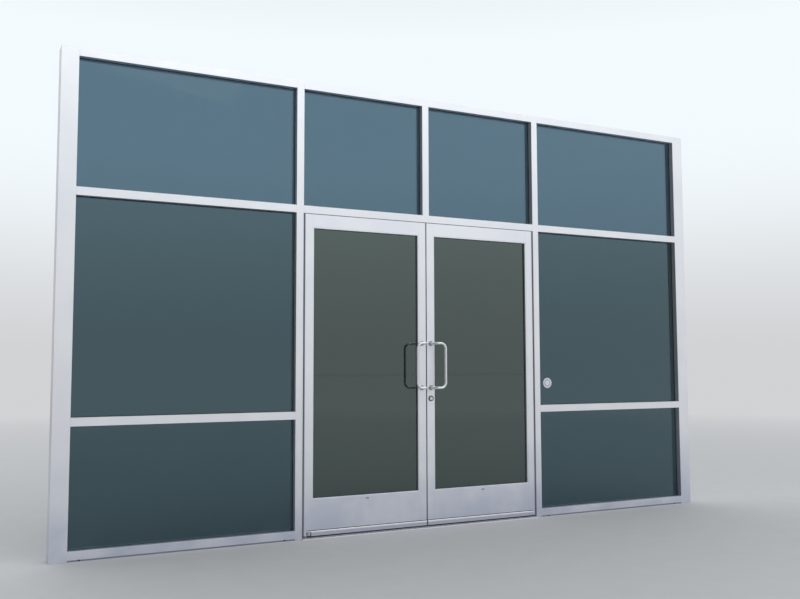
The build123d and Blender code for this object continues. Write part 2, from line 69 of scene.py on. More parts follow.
# %% [markdown]
# ## The camera
# The photograph was taken from the left of the doorway, 1.13 m above the floor, with the lens
# tilted up a little. A pinhole camera fitted to the straight edges of the frame gives its place
# and focal length. The picture is 800 pixels wide, so the focal length in pixels turns into
# millimetres on Blender's 36 mm sensor. The camera could be aimed at a target, but roll, tilt and
# heading in that order repeat the fit exactly.

# %% Place the camera
photo_width_px = 800
focal_px = 887.3
sensor_mm = 36.0
camera_place = Vector((-3.0224, -5.5959, 1.1315))
camera_yaw = math.radians(26.926)
camera_pitch = math.radians(4.268)
camera_roll = math.radians(0.151)

camera_data = bpy.data.cameras.new("photo_camera")
camera_data.sensor_width = sensor_mm
camera_data.lens = focal_px * sensor_mm / photo_width_px
camera_data.clip_end = 200.0
camera = bpy.data.objects.new("photo_camera", camera_data)
bpy.context.scene.collection.objects.link(camera)
turn = Matrix.Rotation(-camera_yaw, 4, "Z") @ Matrix.Rotation(math.pi / 2 + camera_pitch, 4, "X")
roll = Matrix.Rotation(-camera_roll, 4, "Z")
camera.matrix_world = Matrix.Translation(camera_place) @ turn @ roll
bpy.context.scene.camera = camera
print("lens", round(camera_data.lens, 2), "mm")

# %% [markdown]
# ## Surfaces from numpy
# Each new piece is an array of points and an array of faces. One helper turns them into a Blender
# mesh. A grid of points that closes on itself in one or both directions makes a tube or a ring, so
# a second helper writes the faces of such a grid. Screws come in groups, and a group is one mesh,
# so a heap gathers the shells first.

# %% Helpers that make meshes


def add_piece(name, points, faces, body, material, smooth=True):
    """A mesh object from an (n, 3) array of points and a list of faces, riding on a body. The
    points are rounded to a tenth of a micrometre, so that every run gives the same mesh."""
    mesh = bpy.data.meshes.new(name)
    mesh.from_pydata([tuple(p) for p in np.asarray(points, float).round(7)], [], faces)
    mesh.validate()
    mesh.update()
    mesh.polygons.foreach_set("use_smooth", [smooth] * len(mesh.polygons))
    piece = bpy.data.objects.new(name, mesh)
    bpy.context.scene.collection.objects.link(piece)
    mesh.materials.append(material)
    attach(piece, body)
    return piece


def grid_faces(rows, columns, close_rows=False, close_columns=False):
    """Four-sided faces of a grid whose points are numbered row by row. The face at (i, j) joins
    that point to the next column, the next row and column, and the next row."""
    row = np.arange(rows if close_rows else rows - 1)
    column = np.arange(columns if close_columns else columns - 1)
    i, j = np.meshgrid(row, column, indexing="ij")
    j_next = (j + 1) % columns
    this_row, next_row = i * columns, (i + 1) % rows * columns
    corners = [this_row + j, this_row + j_next, next_row + j_next, next_row + j]
    return np.stack(corners, -1).reshape(-1, 4).tolist()


class Heap:
    """Several closed shells gathered into one mesh."""

    def __init__(self):
        self.points, self.faces, self.count = [], [], 0

    def add(self, points, faces):
        """Adds a shell. Its faces count its own points, so the count so far is added to them."""
        points = np.asarray(points, float).reshape(-1, 3)
        self.points.append(points)
        self.faces += [[index + self.count for index in face] for face in faces]
        self.count += len(points)

    def piece(self, name, body, material, slot, smooth=True):
        """Makes the mesh of all shells and prints its size."""
        points = np.concatenate(self.points)
        made = add_piece(name, points, self.faces, body, material, smooth)
        print(name, "faces", len(made.data.polygons))
        return made


print("faces of a 4 by 8 ring:", len(grid_faces(4, 8, True, True)))

# %% [markdown]
# ## Finishes
# A finish is a small graph of nodes. All of them start from Object coordinates, which are the real
# metres of the model, so a streak 0.3 mm wide is 0.3 mm wide on every piece. Image textures would
# need an unwrapped surface, and a noise over the metres needs none. The helpers here start such a
# graph and make the numbers that drive it: a noise stretched along the members, the way along an
# axis, and products of both.

# %% Helpers that make the numbers of a finish
noise_low, noise_high = 0.35, 0.65


def start_finish(name, **settings):
    """A new material with a Principled shader. settings are its socket values by name."""
    material = bpy.data.materials.new(name)
    material.use_nodes = True
    tree = material.node_tree
    shader = tree.nodes["Principled BSDF"]
    for socket, value in settings.items():
        shader.inputs[socket.replace("_", " ")].default_value = value
    return material, tree, shader


def stretched_noise(tree, scale, size=1.0, detail=3.0):
    """Noise over the object's own metres, scaled differently along X, Y and Z."""
    coordinates = tree.nodes.new("ShaderNodeTexCoord")
    mapping = tree.nodes.new("ShaderNodeMapping")
    mapping.inputs["Scale"].default_value = scale
    noise = tree.nodes.new("ShaderNodeTexNoise")
    noise.inputs["Scale"].default_value = size
    noise.inputs["Detail"].default_value = detail
    tree.links.new(coordinates.outputs["Object"], mapping.inputs["Vector"])
    tree.links.new(mapping.outputs["Vector"], noise.inputs["Vector"])
    return noise.outputs["Fac"]


def span(tree, value, low, high, start=noise_low, end=noise_high):
    """A number that runs from low to high as value runs from start to end. Without a start and
    an end, value is a noise, and most of a noise lies between noise_low and noise_high."""
    node = tree.nodes.new("ShaderNodeMapRange")
    node.inputs["From Min"].default_value = start
    node.inputs["From Max"].default_value = end
    node.inputs["To Min"].default_value = low
    node.inputs["To Max"].default_value = high
    tree.links.new(value, node.inputs["Value"])
    return node.outputs["Result"]


def along_axis(tree, axis, start, end, low=0, high=1):
    """A number that runs from low to high as X, Y or Z, in metres, runs from start to end."""
    coordinates = tree.nodes.new("ShaderNodeTexCoord")
    parts = tree.nodes.new("ShaderNodeSeparateXYZ")
    tree.links.new(coordinates.outputs["Object"], parts.inputs["Vector"])
    return span(tree, parts.outputs[axis], low, high, start, end)


def arithmetic(tree, operation, first, second):
    """The product, the maximum and so on of two numbers."""
    node = tree.nodes.new("ShaderNodeMath")
    node.operation = operation
    tree.links.new(first, node.inputs[0])
    tree.links.new(second, node.inputs[1])
    return node.outputs["Value"]


print("materials before the first finish:", len(bpy.data.materials))

# %% [markdown]
# ## From a number to a look
# On a real bar one grain decides all three: where the metal is scratched it is rougher, a little
# darker and a few hundredths of a millimetre lower. So one noise usually drives the colour, the
# roughness and the bump together. A colour ramp holds more colours, but two are enough here.

# %% Helpers that turn numbers into looks


def two_colours(tree, value, first, second):
    """A colour that runs from first to second as value runs from 0 to 1. Each of the two is three
    numbers or the colour that another node gives."""
    mix = tree.nodes.new("ShaderNodeMix")
    mix.data_type = "RGBA"
    for socket, colour in (("A", first), ("B", second)):
        if isinstance(colour, tuple):
            mix.inputs[socket].default_value = (*colour, 1)
        else:
            tree.links.new(colour, mix.inputs[socket])
    tree.links.new(value, mix.inputs["Factor"])
    return mix.outputs["Result"]


def colour_from(tree, shader, noise, first, second):
    """Colours the surface from first to second as noise runs through its middle values."""
    colour = two_colours(tree, span(tree, noise, 0, 1), first, second)
    tree.links.new(colour, shader.inputs["Base Color"])


def roughness_from(tree, shader, noise, low, high):
    """Roughness from low to high as noise runs through its middle values."""
    tree.links.new(span(tree, noise, low, high), shader.inputs["Roughness"])


def add_bump(tree, shader, height, distance, strength=1.0):
    """Tilts the surface's normal as if height, from 0 to 1, raised it by distance."""
    bump = tree.nodes.new("ShaderNodeBump")
    bump.inputs["Strength"].default_value = strength
    bump.inputs["Distance"].default_value = distance
    tree.links.new(height, bump.inputs["Height"])
    tree.links.new(bump.outputs["Normal"], shader.inputs["Normal"])


print("a noise is read between", noise_low, "and", noise_high)

# %% [markdown]
# ## Anodised aluminium
# The members are extruded, etched and clear anodised. The etch leaves a silky surface with very
# fine lines along the length of the bar, and each bar takes the bath a little differently. The
# shader's own anisotropy could give the stretched highlight, but a stretched noise also shows the
# lines close by. The lines follow the bar, so uprights and level members need the same finish with
# the streaks turned. Near the floor a darker, bluer colour is mixed in, in cloudy patches. The
# sub-sill is coloured dark and rougher: its dark is painted shade for the recess under the sill.

# %% Anodised aluminium for uprights and for level members
silver, silver_shade = (0.93, 0.93, 0.95), (0.88, 0.885, 0.92)
leaf_silver, leaf_silver_shade = (0.93, 0.93, 0.96), (0.88, 0.885, 0.93)
# The sub-sill's two colours are painted shade for the recess it sits in.
sub_sill_painted_shade, sub_sill_painted_shade_deep = (0.3, 0.3, 0.34), (0.2, 0.2, 0.24)
# Near the floor the metal is mixed with a darker, bluer colour in cloudy patches.
near_floor_tint = (0.48, 0.51, 0.68)
near_floor_share, near_floor_reach = 0.65, 0.6
across_lines, along_lines = 900.0, 2.5


def anodised(name, along, pale, shade, low_rough=0.3, high_rough=0.42):
    """Silky metal with streaks along the axis named by along. The darker, bluer tint's share is
    near_floor_share at the floor and falls evenly to nothing at near_floor_reach, times a cloudy
    noise."""
    material, tree, shader = start_finish(name, Metallic=0.85, IOR=1.6)
    scale = [along_lines if axis == along else across_lines for axis in "XYZ"]
    streak = stretched_noise(tree, scale, detail=4.0)
    cloud = stretched_noise(tree, (1.6, 1.6, 1.6), size=2.2, detail=5.0)
    clean = two_colours(tree, span(tree, cloud, 0, 1), pale, shade)
    low_down = along_axis(tree, "Z", 0, near_floor_reach, near_floor_share, 0)
    patches = span(tree, cloud, low=0.4, high=1, start=0.3, end=0.6)
    near_floor_mix = arithmetic(tree, "MULTIPLY", low_down, patches)
    tree.links.new(two_colours(tree, near_floor_mix, clean, near_floor_tint), shader.inputs["Base Color"])
    roughness_from(tree, shader, streak, low_rough, high_rough)
    add_bump(tree, shader, streak, 0.00004, 0.35)
    return material


upright_metal = anodised("anodised_uprights", "Z", silver, silver_shade)
level_metal = anodised("anodised_level_members", "X", silver, silver_shade)
# The sub-sill's dark colour is painted shade.
painted_shade_sub_sill_metal = anodised("painted_shade_sub_sill", "X", sub_sill_painted_shade, sub_sill_painted_shade_deep, 0.45, 0.6)
leaf_upright_metal = anodised("anodised_leaf_stiles", "Z", leaf_silver, leaf_silver_shade)
leaf_level_metal = anodised("anodised_leaf_rails", "X", leaf_silver, leaf_silver_shade)
print("anodised finishes:", [m.name for m in bpy.data.materials if "anodised" in m.name])

# %% [markdown]
# ## Hinge, threshold, sweep and spacer
# The hinge is the same alloy, coloured darker as painted shade for the gap between leaf and frame.
# The threshold is mill-finish aluminium scuffed by feet, its saddle also darkened as painted shade,
# and the bright band along its outer lip is a painted highlight. The sweep has a bright band along
# its top, a painted highlight, over a darker body, painted shade. The spacer bar inside the glass
# units is dull. The lip and the band could be pieces of their own, but each is only a change of
# colour on one bar, so the colour follows the height above the floor instead.

# %% Metals with painted shade, scuff and painted highlights
# The hinge's two colours are painted shade; the saddle's two are scuff with painted shade.
hinge_painted_shade_dark, hinge_painted_shade_pale = (0.205, 0.2, 0.235), (0.275, 0.27, 0.31)
saddle_pale_scuff_and_shade, saddle_dark_scuff_and_shade = (0.4, 0.4, 0.42), (0.28, 0.28, 0.3)
# The lip colour and the rib colour are painted highlights; the sweep colour below the rib is
# painted shade.
lip_painted_highlight, lip_heights = (0.86, 0.86, 0.9), (0.0035, 0.006)
sweep_painted_highlight, sweep_painted_shade = (0.98, 0.98, 1.0), (0.56, 0.57, 0.68)
highlight_band_depths = (0.012, 0.006)
spacer_dark, spacer_pale = (0.22, 0.22, 0.23), (0.3, 0.3, 0.31)

hinge_metal, tree, shader = start_finish("hinge_metal", Metallic=0.8, Roughness=0.45)
grain = stretched_noise(tree, (700, 700, 4), detail=3.0)
colour_from(tree, shader, grain, hinge_painted_shade_dark, hinge_painted_shade_pale)
add_bump(tree, shader, grain, 0.00005, 0.4)

threshold_scuff_shade_highlight, tree, shader = start_finish("threshold_scuff_painted_shade_highlight", Metallic=0.5)
scuff = stretched_noise(tree, (30, 8, 30), size=3.0, detail=8.0)
lines = stretched_noise(tree, (3, 900, 900), detail=2.0)
saddle = two_colours(tree, span(tree, scuff, 0, 1), saddle_pale_scuff_and_shade, saddle_dark_scuff_and_shade)
# The bright band at the threshold's lip is a painted highlight.
lip_highlight_over_saddle = two_colours(tree, along_axis(tree, "Z", *lip_heights), lip_painted_highlight, saddle)
tree.links.new(lip_highlight_over_saddle, shader.inputs["Base Color"])
roughness_from(tree, shader, scuff, 0.5, 0.75)
add_bump(tree, shader, lines, 0.0001, 0.4)

sweep_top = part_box("left_sweep")[1][2]
sweep_metal, tree, shader = start_finish("sweep_painted_highlight_and_shade", Metallic=0.75, IOR=1.6)
streaks = stretched_noise(tree, (2.5, 900, 900), detail=4.0)
# The top band of the sweep is a painted highlight over a body of painted shade.
highlight_band = along_axis(tree, "Z", *(sweep_top - depth for depth in highlight_band_depths))
tree.links.new(two_colours(tree, highlight_band, sweep_painted_shade, sweep_painted_highlight), shader.inputs["Base Color"])
roughness_from(tree, shader, streaks, 0.3, 0.42)
add_bump(tree, shader, streaks, 0.00004, 0.35)

spacer_metal, tree, shader = start_finish("spacer_bar", Metallic=0.6, Roughness=0.5)
mottle = stretched_noise(tree, (300, 300, 300), detail=2.0)
colour_from(tree, shader, mottle, spacer_dark, spacer_pale)
print("top of the sweeps at", round(sweep_top, 4), "m")

# %% [markdown]
# ## Satin tube
# The pulls and push bars are tube with a satin finish, whose grain has no direction. At the feet of
# the pulls the colour turns dark, painted shade where they meet the leaf. Their faces could be
# picked out for a second material, but a change along Y needs no picking: it comes at the flange,
# just in front of the leaf's face.

# %% Satin tube for the pulls and the push bars
tube_pale, tube_shade = (0.9, 0.9, 0.91), (0.84, 0.84, 0.86)
# The dark colour at the flange is painted shade.
flange_painted_shade = (0.34, 0.34, 0.35)
flange_start, flange_end = 0.0042, 0.0032


def satin_tube(name, foot_from=None, foot_to=None):
    """Satin metal that turns to the dark of painted shade where Y runs from foot_from to foot_to.
    """
    material, tree, shader = start_finish(name, Metallic=0.9)
    satin_grain = stretched_noise(tree, (500, 500, 500), detail=5.0)
    colour = two_colours(tree, span(tree, satin_grain, 0, 1), tube_pale, tube_shade)
    if foot_from is not None:
        foot = along_axis(tree, "Y", foot_from, foot_to)
        colour = two_colours(tree, foot, colour, flange_painted_shade)
    tree.links.new(colour, shader.inputs["Base Color"])
    roughness_from(tree, shader, satin_grain, 0.3, 0.4)
    add_bump(tree, shader, satin_grain, 0.00003, 0.3)
    return material


leaf_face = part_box("left_hinge_stile")[0][1]
handle_metal = satin_tube("satin_tube")
pull_metal = satin_tube("satin_pull_tube", leaf_face - flange_start, leaf_face - flange_end)
print("face of the leaves at y =", round(leaf_face, 4), "m")

# %% [markdown]
# ## Lathe-turned chrome
# The lock is satin chrome turned on a lathe, so its marks are rings about the lock's own axis. A
# wave texture would draw all rings alike, and a tool's marks differ, so a noise of one number is
# read at the distance from the axis. A Mapping node moves that axis to the origin first. The
# collar of the outer cylinder is black from a certain distance on.

# %% Lathe-turned satin chrome for the lock
lock_low, lock_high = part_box("key_plug")
lock_x = (lock_low[0] + lock_high[0]) / 2
lock_z = (lock_low[2] + lock_high[2]) / 2
rings_per_metre = 2500.0
collar_dark_from, collar_blend = 0.0125, 0.0005
beyond_the_lock = 1.0  # metres: so far out that the outer colour never shows
satin, collar_dark = (0.78, 0.78, 0.77), (0.06, 0.06, 0.065)


def turned_metal(name, inner, outer, change):
    """Metal with fine rings about the line through (lock_x, lock_z) along Y. Its colour goes from
    inner to outer where the distance from that line, the root of x squared plus z squared, passes
    change."""
    material, tree, shader = start_finish(name, Metallic=0.95)
    coordinates = tree.nodes.new("ShaderNodeTexCoord")
    centred = tree.nodes.new("ShaderNodeMapping")
    centred.inputs["Location"].default_value = (-lock_x, 0, -lock_z)
    split = tree.nodes.new("ShaderNodeSeparateXYZ")
    flat = tree.nodes.new("ShaderNodeCombineXYZ")
    length = tree.nodes.new("ShaderNodeVectorMath")
    length.operation = "LENGTH"
    rings = tree.nodes.new("ShaderNodeTexNoise")
    rings.noise_dimensions = "1D"
    rings.inputs["Scale"].default_value = rings_per_metre
    tree.links.new(coordinates.outputs["Object"], centred.inputs["Vector"])
    tree.links.new(centred.outputs["Vector"], split.inputs["Vector"])
    tree.links.new(split.outputs["X"], flat.inputs["X"])
    tree.links.new(split.outputs["Z"], flat.inputs["Z"])
    tree.links.new(flat.outputs["Vector"], length.inputs[0])
    tree.links.new(length.outputs["Value"], rings.inputs["W"])
    far = span(tree, length.outputs["Value"], 0, 1, change, change + collar_blend)
    tree.links.new(two_colours(tree, far, inner, outer), shader.inputs["Base Color"])
    roughness_from(tree, shader, rings.outputs["Fac"], 0.18, 0.34)
    add_bump(tree, shader, rings.outputs["Fac"], 0.00003, 0.5)
    return material


lock_metal = turned_metal("turned_lock_satin", satin, satin, beyond_the_lock)
collar_metal = turned_metal("turned_lock_collar", satin, collar_dark, collar_dark_from)
print("axis of the lock at x, z =", round(lock_x, 4), round(lock_z, 4))

# %% [markdown]
# ## Tinted glass
# The panes are grey-green glass, dark enough that the room behind them is hard to see, and they
# mirror what stands outside. Their outer face has a thin mirror coat. It could be a second shader,
# but a high index of refraction does the same, and the specular tint gives the coat its colour. The
# top row of panes is bluer, paler and more mirroring than the rest, a painted reflection of the
# sky.
# The door glass passes far less light than the fixed units, painted shade for the dark room behind
# the leaves. A Principled shader with full transmission tints the light each time it crosses a
# face, so a thick unit comes out darker than clear glass would. Toughened glass is never quite
# flat: the rollers of the furnace leave long shallow waves, which are a very gentle bump here.

# %% Glass for the fixed units and for the doors
furnace_wave = 0.0006
# The top row's tint, mirror tint and index are a painted reflection of the sky.
top_tint, top_painted_sky_tint, top_index = (0.15, 0.19, 0.2), (0.47, 0.76, 1.0), 2.55
unit_tint, unit_mirror, unit_index = (0.1, 0.13, 0.125), (0.5, 0.77, 0.9), 2.3
# The door glass's near-black tint is painted shade for the dark room behind.
leaf_tint_and_painted_shade, leaf_mirror, leaf_index = (0.01, 0.014, 0.012), (0.62, 0.77, 0.72), 2.4


def tinted_glass(name, tint, mirror_tint, index):
    """Clear but coloured glass. tint is what passes through, mirror_tint what it mirrors."""
    material, tree, shader = start_finish(
        name,
        Base_Color=(*tint, 1),
        Transmission_Weight=1.0,
        Roughness=0.0,
        IOR=index,
        Specular_Tint=(*mirror_tint, 1),
    )
    waves = stretched_noise(tree, (0.8, 0.8, 2.6), size=1.3, detail=1.0)
    add_bump(tree, shader, waves, furnace_wave)
    return material


transom_glass = tinted_glass("tinted_transom_glass", top_tint, top_painted_sky_tint, top_index)
unit_glass = tinted_glass("tinted_unit_glass", unit_tint, unit_mirror, unit_index)
leaf_glass = tinted_glass("tinted_door_glass", leaf_tint_and_painted_shade, leaf_mirror, leaf_index)
print("glass finishes:", [m.name for m in bpy.data.materials if "glass" in m.name])

# %% [markdown]
# ## Rubber, brush and sticker
# Gaskets are black rubber with a faint bloom. The brush between the leaves is a dense pile. Hair
# by hair it would be thousands of thin pieces in a gap of a few millimetres, so it takes a fine
# cross grain and some sheen. The sticker is white film with a thin clear coat, printed in
# grey-blue ink.

# %% Rubber, pile, film and ink
rubber_dark, rubber_bloom = (0.007, 0.007, 0.007), (0.018, 0.018, 0.019)
pile_dark, pile_pale = (0.004, 0.004, 0.004), (0.016, 0.016, 0.016)
film_white, film_shade = (0.84, 0.85, 0.93), (0.78, 0.79, 0.87)
ink_dark, ink_pale = (0.4, 0.4, 0.58), (0.48, 0.48, 0.66)

black_rubber, tree, shader = start_finish("black_gasket", Specular_IOR_Level=0.2)
bloom = stretched_noise(tree, (40, 40, 40), size=4.0, detail=6.0)
colour_from(tree, shader, bloom, rubber_dark, rubber_bloom)
roughness_from(tree, shader, bloom, 0.5, 0.7)
add_bump(tree, shader, bloom, 0.0001, 0.3)

brush_pile, tree, shader = start_finish(
    "brush_pile", Roughness=0.9, Specular_IOR_Level=0.1, Sheen_Weight=0.02
)
hairs = stretched_noise(tree, (200, 2500, 2500), detail=2.0)
colour_from(tree, shader, hairs, pile_dark, pile_pale)
add_bump(tree, shader, hairs, 0.0004, 0.8)

white_film, tree, shader = start_finish("white_film", Coat_Weight=0.3)
speckle = stretched_noise(tree, (400, 400, 400), detail=3.0)
colour_from(tree, shader, speckle, film_white, film_shade)
roughness_from(tree, shader, speckle, 0.3, 0.42)

grey_ink, tree, shader = start_finish("grey_ink", Roughness=0.45)
ink_grain = stretched_noise(tree, (600, 600, 600), detail=3.0)
colour_from(tree, shader, ink_grain, ink_dark, ink_pale)
print("soft finishes:", [m.name for m in (black_rubber, brush_pile, white_film, grey_ink)])

# %% [markdown]
# ## Dressing the solids
# Every solid keeps its shape and gets the finish of what it is made of. Each could be dressed by
# hand, but a table by name shows at the end which solid was forgotten.

# %% Finishes of the frame, the hinges and the lock
bays = ("left", "center", "right")
uprights = [f"mullion_{bay}" for bay in bays] + ["jamb_left", "jamb_right", "door_stops"]
levels = [f"{kind}_{bay}" for kind in ("head", "transom") for bay in bays]
levels += ["rail_left", "rail_right", "sill_left", "sill_right", "sub_sill"]
finish_of = {name: upright_metal for name in uprights}
finish_of.update({name: level_metal for name in levels})
finish_of.update({name: unit_glass for name in nodes if name.startswith("lite_")})
finish_of.update({name: transom_glass for name in nodes if name.startswith("lite_top")})
finish_of.update(
    sub_sill=painted_shade_sub_sill_metal,
    threshold=threshold_scuff_shade_highlight,
    glass_spacers=spacer_metal,
    frame_gaskets=black_rubber,
    weatherstrip=black_rubber,
    hinge_jamb_plates=hinge_metal,
    hinge_pins=hinge_metal,
    strike=lock_metal,
    lock_case=lock_metal,
    lock_cylinder=collar_metal,
    key_plug=lock_metal,
    thumbturn=lock_metal,
    deadbolt=lock_metal,
    meeting_brush=brush_pile,
)
print("finishes named:", len(finish_of))

# %% [markdown]
# ## The leaves
# The two leaves are built alike, and their parts have the same names behind left or right. Two
# tables could drift apart, so one serves both leaves.

# %% Finishes of the leaves, and every solid gets its own
leaf_finishes = dict(
    hinge_stile=leaf_upright_metal,
    meeting_stile=leaf_upright_metal,
    top_rail=leaf_level_metal,
    bottom_rail=leaf_level_metal,
    glass_stops=leaf_level_metal,
    sweep=sweep_metal,
    door_glass=leaf_glass,
    door_gaskets=black_rubber,
    pull_handle=pull_metal,
    push_bar=handle_metal,
    hinge_door_plate=hinge_metal,
)
for hand in ("left", "right"):
    finish_of.update({f"{hand}_{part}": finish for part, finish in leaf_finishes.items()})

for name, finish in finish_of.items():
    nodes[name].data.materials.clear()
    nodes[name].data.materials.append(finish)
print("without a finish:", sorted(set(nodes) - set(finish_of)))

# %% [markdown]
# ## Eased edges
# Square edges of real extrusions are eased by about half a millimetre, which shows as a thin
# bright line at each joint. They could be rounded in the CAD model, at the cost of many small
# faces. Here each metal member gets a Weld, which joins its loose triangles, and then a Bevel on
# the sharp edges only.

# %% Ease the square edges of the metal members
edge_ease = 0.0006
weld_distance = 0.00001
sharp_from = math.radians(50)
eased = uprights + levels + [
    f"{hand}_{part}"
    for hand in ("left", "right")
    for part in ("hinge_stile", "meeting_stile", "top_rail", "bottom_rail")
]
for name in eased:
    weld = nodes[name].modifiers.new("join_triangles", "WELD")
    weld.merge_threshold = weld_distance
    bevel = nodes[name].modifiers.new("eased_edges", "BEVEL")
    bevel.width = edge_ease
    bevel.segments = 2
    bevel.limit_method = "ANGLE"
    bevel.angle_limit = sharp_from
print("members with eased edges:", len(eased))

# %% [markdown]
# ## A ring with any section
# Gaskets and glass stops all run round a rectangle of daylight. Their section is a short list of
# points (out, y): how far out from the daylight's edge, and how deep. At each of the four corners
# the section is copied with both its level and its upright offset equal to "out", which is what a
# mitre does. The grid of four corners by the section's points then closes both ways. A curve with
# a bevel object would round or twist at the corners, and this keeps them exact.

# %% Rings and mitred bars round a rectangle


def inset_opening(low, high, inset):
    """The rectangle (x0, x1), (z0, z1) of a box, drawn in by inset on all four sides."""
    return (low[0] + inset, high[0] - inset), (low[2] + inset, high[2] - inset)


def mirrored(section, middle_y):
    """A section mirrored about middle_y, its order turned round so that it still faces out."""
    return [(out, 2 * middle_y - y) for out, y in section][::-1]


def corner_points(opening, section):
    """Points of a section at the four corners of an opening: array of 4 by section by 3."""
    (x0, x1), (z0, z1) = opening
    out, depth = np.asarray(section, float).T
    x = np.stack([x0 - out, x1 + out, x1 + out, x0 - out])
    z = np.stack([z0 - out, z0 - out, z1 + out, z1 + out])
    return np.stack([x, np.broadcast_to(depth, x.shape), z], -1)


def ring(heap, opening, section):
    """A closed ring. The section's points run anticlockwise seen with out to the right, y up."""
    points = corner_points(opening, section)
    heap.add(points, grid_faces(4, len(section), close_rows=True, close_columns=True))


def mitred_bars(heap, opening, section, joint):
    """Four separate bars, each shortened by half the joint along its own length at both ends."""
    corners = corner_points(opening, section)
    count = len(section)
    for start in range(4):
        first, last = corners[start].copy(), corners[(start + 1) % 4].copy()
        along = last.mean(0) - first.mean(0)
        along /= np.linalg.norm(along)
        first += along * joint / 2
        last -= along * joint / 2
        faces = grid_faces(2, count, close_columns=True)
        faces += [list(range(count))[::-1], list(range(count, 2 * count))]
        heap.add(np.stack([first, last]), faces)


square, section = ((0, 1), (0, 1)), [(0, 0), (1, 0), (1, 1)]
print("corners, points, axes:", corner_points(square, section).shape)

# %% [markdown]
# ## Gaskets of the fixed glass
# The solids hold plain square gaskets. The real ones are wedge gaskets whose lip bulges over the
# glass as it is pressed in, so only the lip shows, as the black line round each pane. The new ring
# keeps the same pocket and adds the rounded lip, on both faces of each unit.

# %% Rounded wedge gaskets
pocket_half = 0.016
glass_bite = 0.012
lip_reach = 0.003
lip_bulge = 0.8
gasket_root = 0.009
lip_turns = np.linspace(0, math.pi / 2, 6)


def lip_section(pocket_face, glass_face, root, reach):
    """A wedge with a rounded lip. For a turn t up to a quarter, the lip stands out by reach times
    the sine of t, and is lip_bulge times one minus the cosine of t of the way to the glass."""
    height = lip_bulge * (glass_face - pocket_face)
    arc = [(-reach * math.sin(t), pocket_face + height * (1 - math.cos(t))) for t in lip_turns]
    return [(root, pocket_face)] + arc + [(-reach, glass_face), (root, glass_face)]


frame_heap = Heap()
for name in sorted(nodes):
    if not name.startswith("lite_"):
        continue
    low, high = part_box(name)
    daylight = inset_opening(low, high, glass_bite)
    outer_section = lip_section(-pocket_half, low[1], gasket_root, lip_reach)
    ring(frame_heap, daylight, outer_section)
    ring(frame_heap, daylight, mirrored(outer_section, 0))
frame_gaskets = frame_heap.piece(
    "frame_wedge_gaskets", "frame", black_rubber, "black_rubber", smooth=False
)
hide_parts("frame_gaskets")

# %% [markdown]
# ## Glass stops and gaskets of the leaves
# A glass stop is a small extrusion that snaps into the leaf and is cut at 45 degrees at each
# corner, so four hairline joints show. Its face has a rounded bevel towards the glass, and a fine
# groove where it clips in. One ring would hide the joints, so the stops are four bars with a small
# gap at each mitre. The stops outside and inside mirror each other about the middle of the glass.

# %% Mitred glass stops and their gaskets
stop_width = 0.010
stop_bevel = 0.0035
stop_joint = 0.0003
groove_lines = ((0.0012, 0), (0.0015, 0.0005), (0.0018, 0))
bevel_shares = ((1, 0), (0.55, 0.18), (0.18, 0.55), (0, 1))
door_lip = 0.002
door_gasket_root = 0.006
gasket_depth = 0.003
for hand in ("left", "right"):
    body = f"{hand}_leaf"
    low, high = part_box(f"{hand}_glass_stops")
    glass_low, glass_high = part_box(f"{hand}_door_glass")
    middle_y = (glass_low[1] + glass_high[1]) / 2
    opening = inset_opening(low, high, stop_width)
    face, back = low[1], glass_low[1] - gasket_depth
    outside = [(stop_width, face)]
    outside += [(stop_width - step, face + depth) for step, depth in groove_lines]
    outside += [(stop_bevel * out, face + stop_bevel * depth) for out, depth in bevel_shares]
    outside += [(0, back), (stop_width, back)]
    stops = Heap()
    mitred_bars(stops, opening, outside, stop_joint)
    mitred_bars(stops, opening, mirrored(outside, middle_y), stop_joint)
    stop_piece = stops.piece(
        f"{hand}_mitred_stops", body, leaf_level_metal, "anodised_aluminium", smooth=False
    )
    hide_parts(f"{hand}_glass_stops")

    seal = lip_section(back, glass_low[1], door_gasket_root, door_lip)
    seals = Heap()
    ring(seals, opening, seal)
    ring(seals, opening, mirrored(seal, middle_y))
    seal_piece = seals.piece(
        f"{hand}_glass_gaskets", body, black_rubber, "black_rubber", smooth=False
    )
    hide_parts(f"{hand}_door_gaskets")

# %% [markdown]
# ## The head of a screw
# A screw head is a surface of two parameters, the radius and the angle. Its height falls away from
# the middle as a shallow dome, and drops where the point lies inside a cross, which is the driver's
# recess. The rim turns down into the metal, so the head is a closed cap. Cutting the cross with a
# boolean would be slower for so many screws and leave untidy faces.

# %% A screw head from radius and angle
circle_shares = (0.0, 0.12, 0.2, 0.34, 0.5, 0.62, 0.8, 0.95, 1.0, 1.0)
screw_steps = 32
cross_half, cross_reach, cross_depth = 0.13, 0.52, 0.35
rim_depth = 0.4


def screw_head(heap, place, outward, radius, dome):
    """Adds a cross-head screw at place, facing along outward. Its height is dome times the radius
    times one minus the square of the share of the radius, less cross_depth inside the cross. All
    sizes of the cross and the rim are shares of the radius."""
    radii = np.array(circle_shares) * radius
    angles = np.linspace(0, 2 * math.pi, screw_steps, endpoint=False)
    r, t = np.meshgrid(radii, angles, indexing="ij")
    across, up = r * np.cos(t), r * np.sin(t)
    height = dome * radius * (1 - (r / radius) ** 2)
    arm = np.minimum(np.abs(across), np.abs(up))
    recess = (arm < cross_half * radius) & (r < cross_reach * radius)
    height = np.where(recess, height - cross_depth * radius, height)
    height[-1] = -rim_depth * radius
    outward = Vector(outward).normalized()
    side = outward.orthogonal().normalized()
    axes = np.array([side, outward.cross(side), outward])
    points = np.stack([across, up, height], -1) @ axes + np.array(place)
    faces = [face[::-1] for face in grid_faces(len(radii), screw_steps, close_columns=True)]
    last_row = (len(radii) - 1) * screw_steps
    heap.add(points, faces + [[last_row + i for i in range(screw_steps)][::-1]])


